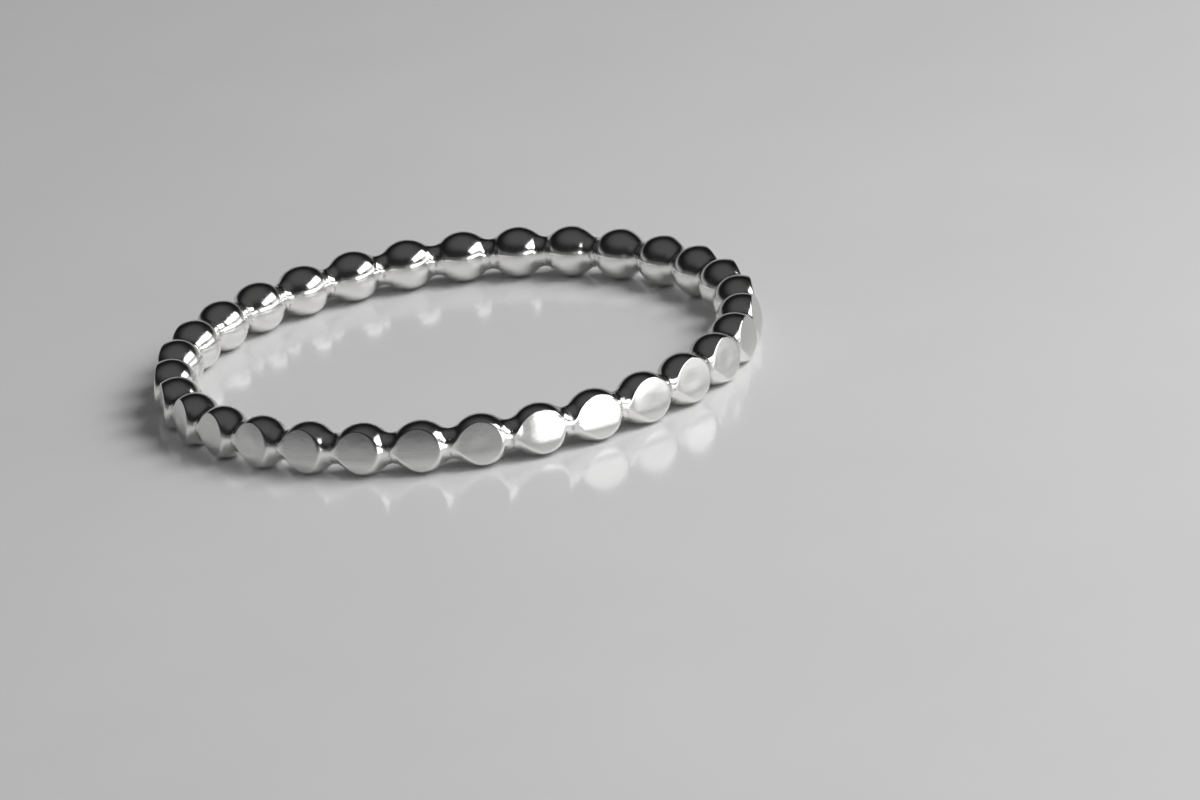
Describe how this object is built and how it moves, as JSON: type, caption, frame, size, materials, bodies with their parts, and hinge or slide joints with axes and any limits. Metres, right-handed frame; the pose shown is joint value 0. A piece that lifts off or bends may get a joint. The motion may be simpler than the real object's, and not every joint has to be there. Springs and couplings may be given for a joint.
{
  "type": "stackable ring",
  "caption": "Slim stacking finger ring of beaded wire with a flat facet, pointed at one end, on the outer side of every bead.",
  "frame": {"origin": "on the surface that the ring lies on, at the middle of the ring", "axes": "+Z along the ring's axis, -Y towards one of the beads"},
  "size_m": [0.0194, 0.0194, 0.0016],
  "materials": {
    "silver": "polished sterling silver, with finely brushed facets"
  },
  "bodies": {
    "root": {"beaded_band": "silver"}
  },
  "joints": []
}
